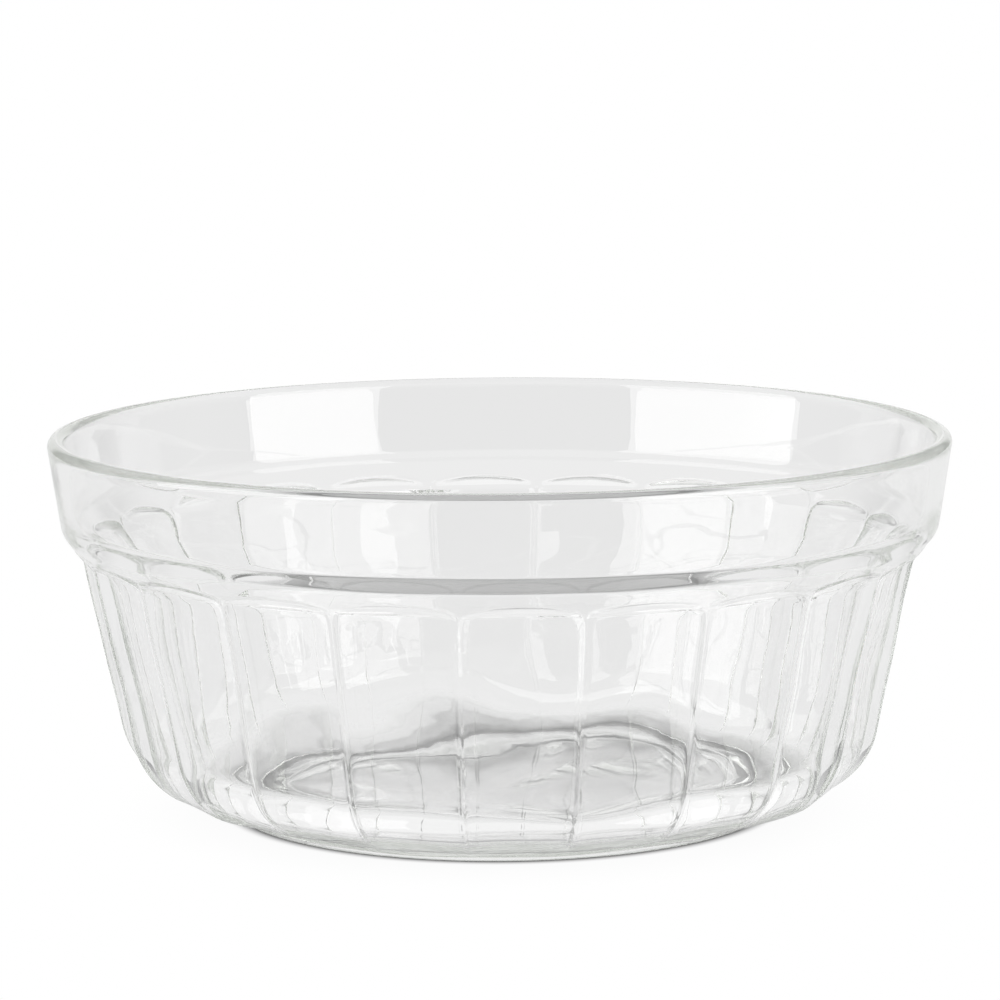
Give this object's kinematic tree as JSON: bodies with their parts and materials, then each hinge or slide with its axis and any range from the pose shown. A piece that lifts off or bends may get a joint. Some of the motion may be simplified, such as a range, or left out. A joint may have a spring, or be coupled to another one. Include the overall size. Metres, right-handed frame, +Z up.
{
  "type": "serving bowl",
  "caption": "Round clear pressed-glass serving bowl with a plain rounded collar, a stepped shoulder and a leaning wall of flat panels on a low round foot.",
  "frame": {"origin": "centre of the foot ring, on the surface the bowl stands on", "axes": "+Z up along the bowl's axis, -Y through the middle of one panel"},
  "size_m": [0.2, 0.2, 0.084],
  "materials": {
    "glass": "clear pressed soda-lime glass, fire-polished, faintly wavy"
  },
  "bodies": {
    "root": {"bowl": "glass"}
  },
  "joints": []
}
